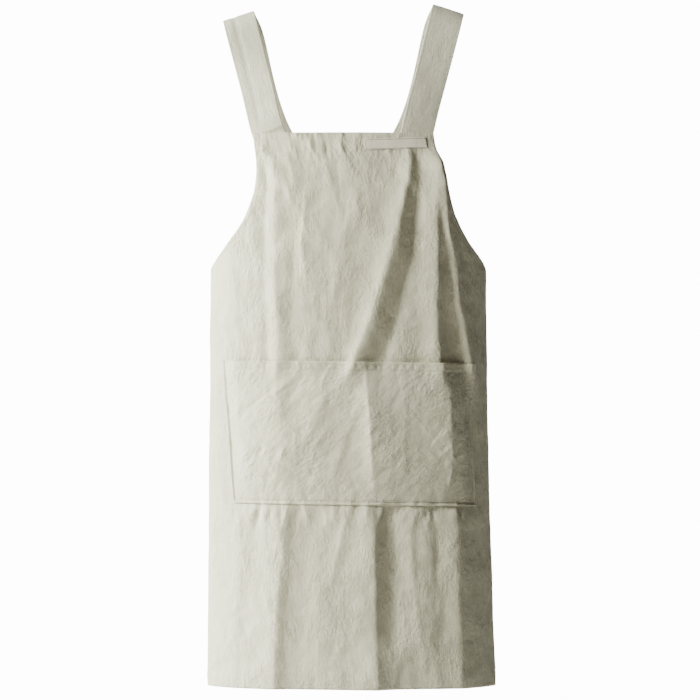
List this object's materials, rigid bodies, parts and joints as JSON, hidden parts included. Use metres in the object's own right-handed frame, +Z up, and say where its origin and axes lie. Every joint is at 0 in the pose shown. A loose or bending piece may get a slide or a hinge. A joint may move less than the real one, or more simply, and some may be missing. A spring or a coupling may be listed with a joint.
{
  "type": "cross back apron",
  "caption": "Wrap-round linen apron with a bib, a wide patch pocket and two straps that cross at the back, hanging as worn.",
  "frame": {"origin": "midway between the two straps where they rest on the shoulders", "axes": "+Z up, -Y towards the front of the bib, +X towards the wearer's left side"},
  "size_m": [0.4151, 0.2626, 0.9846],
  "materials": {
    "body_linen": "washed linen, matt",
    "pocket_linen": "washed linen, matt",
    "strap_linen": "washed linen, matt",
    "label_cotton": "woven cotton tape, bare"
  },
  "bodies": {
    "root": {"apron_body": "body_linen", "pocket": "pocket_linen", "label": "label_cotton", "strap_left": "strap_linen", "strap_right": "strap_linen"}
  },
  "joints": []
}
